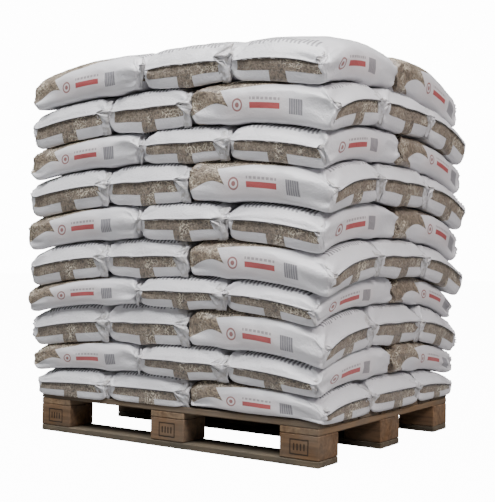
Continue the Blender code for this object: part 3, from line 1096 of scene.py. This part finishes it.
def sack_of_cell(number, cell, rng):
    """What one sack is like: where it lies, where its banded end and its near side face, how it differs
    from the others, and its ears as (end, side): size. Ears show at the end on a face of the load, on
    the sides that have a neighbour, and at the near corner on both sides."""
    west, east, south, north, heading = cell
    low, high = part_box(LAYERS[number - 1])
    top = number == len(LAYERS)
    at_right = east == high.x
    at_corner = at_right and south == low.y
    lengthwise = heading[0] != 0
    half_x, half_y = (east - west) / 2, (north - south) / 2
    half_length, half_width = (half_x, half_y) if lengthwise else (half_y, half_x)
    if lengthwise:
        face = "right" if at_right else "left"
        outer_sides = {1: south == low.y, -1: north == high.y}
    else:
        face = "front" if heading[1] < 0 else "back"
        at_left = west == low.x
        outer_sides = {1: at_left, -1: at_right} if face == "front" else {1: at_right, -1: at_left}
    outer_end = -1 if face == "left" else 1
    ears = {}
    for side, outer in outer_sides.items():
        if at_corner or not outer:
            inner_size = EAR_SIZE if side * outer_end < 0 else EAR_SMALL
            ears[(outer_end, side)] = EAR_OUTER if outer else inner_size
    return {
        "layer": number,
        "middle": np.array(((west + east) / 2, (south + north) / 2)),
        "heading": np.array(heading),
        "facing": np.array((heading[1], -heading[0])),
        "half_length": half_length - END_GAP,
        "half_width": half_width - SIDE_GAP,
        "slip": rng.uniform(*SLIP),
        "twist": rng.uniform(-TWIST, TWIST),
        "lean": LEAN if face == "right" else 0.0,
        "crown": CROWN if top else 0.0,
        "pressed": PRESSED_ON_TOP if top else 1.0,
        "spread": SPREAD if number == 1 else 0.0,
        "sag": SAG if face == "right" and at_corner else 0.0,
        "slide": SLIDE if face == "back" and at_right else 0.0,
        "pinch": PINCH_SHARES[face],
        "ears": ears,
    }


def build_sacks():
    """Lay ten layers of seven sacks, each a little different from the others."""
    film = film_material()
    for number, layer in enumerate(LAYERS, 1):
        for place, cell in enumerate(cells_of(number), 1):
            rng = np.random.default_rng(100 * number + place)
            sack = sack_of_cell(number, cell, rng)
            points, film_along = lay_sack(sack, rng)
            ears = [lay_ear(sack, *spot, size, rng) for spot, size in sack["ears"].items()]
            thing = sack_mesh(f"sack_{number:02d}_{place}", points, film_along, sack["slide"], ears)
            thing.data.materials.append(film)
            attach(thing, "root")
            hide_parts(layer)


def finish_pallet():
    """Give every board and block of the pallet its wood, each a little lighter or darker than the next,
    and mark the blocks of the front row."""
    for number, (name, node) in enumerate(sorted(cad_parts.items())):
        kind = next((start for start in WOODS if name.startswith(start)), None)
        if kind is None:
            continue
        low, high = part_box(name)
        grain, light, dark = WOODS[kind]
        shade = SHADE_LEAST + SHADE_RANGE * ((number * SHADE_STEP) % 1.0)
        light, dark = (tuple(shade * part for part in colour) for colour in (light, dark))
        mark = ((low.x + high.x) / 2, low.y) if name.startswith("block_row_1") else None
        wood = wood_material(f"wood_{name}", grain, light, dark, SEED_STEP * number, mark)
        node.data.materials.clear()
        node.data.materials.append(wood)


def nails_at(board, crossed, spots, proud):
    """Nails through a board where it crosses another piece, as (x, y, z, how far the head stands out),
    on its top, or on its underside where proud is negative."""
    low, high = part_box(board)
    left, right = (corner.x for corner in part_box(crossed))
    level = high.z if proud > 0 else low.z
    return [
        (left + across * (right - left), low.y + along * (high.y - low.y), level, proud)
        for across, along in spots
    ]


def drive_nails():
    """Nail heads on the deck over every stringer, and under the bottom boards below every block: low
    domes, found by the share of the radius and the turn, whose height falls with its square."""
    places = []
    for board in range(1, 8):
        for stringer in range(1, 4):
            crossed = f"stringer_board_{stringer}"
            places += nails_at(f"deck_board_{board}", crossed, DECK_NAILS, PROUD_ON_DECK)
    for board in range(1, 4):
        for column in range(1, 4):
            crossed = f"block_row_{board}_column_{column}"
            places += nails_at(f"bottom_board_{board}", crossed, BOTTOM_NAILS, PROUD_BELOW)
    places = np.array(places)
    radius = np.linspace(0, 1, NAIL_ROWS)[:, None]
    turn = np.linspace(0, 2 * math.pi, NAIL_COLUMNS, endpoint=False)[None, :]
    around = np.stack((radius * np.cos(turn), radius * np.sin(turn), 1 - radius**2 + 0 * turn), axis=-1)
    dome = around * (NAIL_RADIUS, NAIL_RADIUS, NAIL_HEIGHT)
    foot = dome[-1:] - (0.0, 0.0, NAIL_DEPTH)
    base = foot * (0.0, 0.0, 1.0)
    shape = np.concatenate((dome, foot, base))
    heads = np.repeat(shape[None], len(places), axis=0)
    heads[..., 2] *= places[:, None, None, 3]
    heads += places[:, None, None, :3]
    index = np.arange(heads[..., 0].size).reshape(heads.shape[:3])
    thing = grid_mesh("nail_heads", heads.reshape(-1, 3), tube_faces(index))
    thing.data.materials.append(nail_material())
    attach(thing, "root")


# The camera, floor and light

def place_camera():
    """Look at the pallet as the photograph does: turned, tipped and rolled by the fitted angles."""
    azimuth, elevation, roll = (math.radians(a) for a in (CAMERA_AZIMUTH, CAMERA_ELEVATION, CAMERA_ROLL))
    ahead = np.array((
        -math.sin(azimuth) * math.cos(elevation),
        math.cos(azimuth) * math.cos(elevation),
        -math.sin(elevation),
    ))
    right = np.cross(ahead, (0.0, 0.0, 1.0))
    right /= np.linalg.norm(right)
    up = np.cross(right, ahead)
    across = math.cos(roll) * right + math.sin(roll) * up
    upward = -math.sin(roll) * right + math.cos(roll) * up
    data = bpy.data.cameras.new("Camera")
    data.sensor_width = SENSOR
    data.lens = FOCAL_PIXELS * SENSOR / max(IMAGE_SIZE)
    data.clip_end = 100.0
    camera = bpy.data.objects.new("Camera", data)
    bpy.context.scene.collection.objects.link(camera)
    turn = np.eye(4)
    turn[:3, 0], turn[:3, 1], turn[:3, 2], turn[:3, 3] = across, upward, -ahead, CAMERA_PLACE
    camera.matrix_world = Matrix(turn.tolist())
    bpy.context.scene.camera = camera


def area_light(name, place, target, size, power, colour):
    """A square soft light that faces its target."""
    data = bpy.data.lights.new(name, "AREA")
    data.size = size
    data.energy = power
    data.color = colour
    light = bpy.data.objects.new(name, data)
    bpy.context.scene.collection.objects.link(light)
    light.location = place
    light.rotation_euler = (Vector(target) - Vector(place)).to_track_quat("-Z", "Y").to_euler()


def build_floor():
    """A pale floor that runs out of sight, and glows for the camera only, but for one shaded patch."""
    bpy.ops.mesh.primitive_plane_add(size=FLOOR_SIZE, location=(0.0, 0.0, 0.0))
    floor = bpy.context.object
    floor.name = "floor"
    material, shader, place = start_material("floor_paint")
    shader.inputs["Base Color"].default_value = rgba((FLOOR_GREY,) * 3)
    shader.inputs["Roughness"].default_value = 0.9
    shader.inputs["Specular IOR Level"].default_value = 0.0
    shader.inputs["Emission Strength"].default_value = FLOOR_GLOW
    x = place.node("ShaderNodeSeparateXYZ", {}, {"Vector": place})
    shade = x.within(*FLOOR_SHADE[0], SHADE_SOFT) * x.other("Y").within(*FLOOR_SHADE[1], SHADE_SOFT)
    seen = place.node("ShaderNodeLightPath", {}, {})
    connect((seen * (1.0 - shade)).mix((0.0, 0.0, 0.0), (1.0, 1.0, 1.0)), shader, "Emission Color")
    floor.data.materials.append(material)


def light_up():
    """Pale surroundings that glow for the camera and shed a little light, and three soft lights."""
    world = bpy.data.worlds.new("Surroundings")
    world.use_nodes = True
    background = world.node_tree.nodes["Background"]
    background.inputs["Strength"].default_value = SKY_GLOW
    seen = Signal(world.node_tree, None).node("ShaderNodeLightPath", {}, {})
    connect(seen.mix((SKY_LIGHT / SKY_GLOW,) * 3, (1.0, 1.0, 1.0)), background, "Color")
    bpy.context.scene.world = world
    for name, light in LIGHTS.items():
        area_light(name, *light)


place_camera()
build_sacks()
finish_pallet()
drive_nails()
build_floor()
light_up()
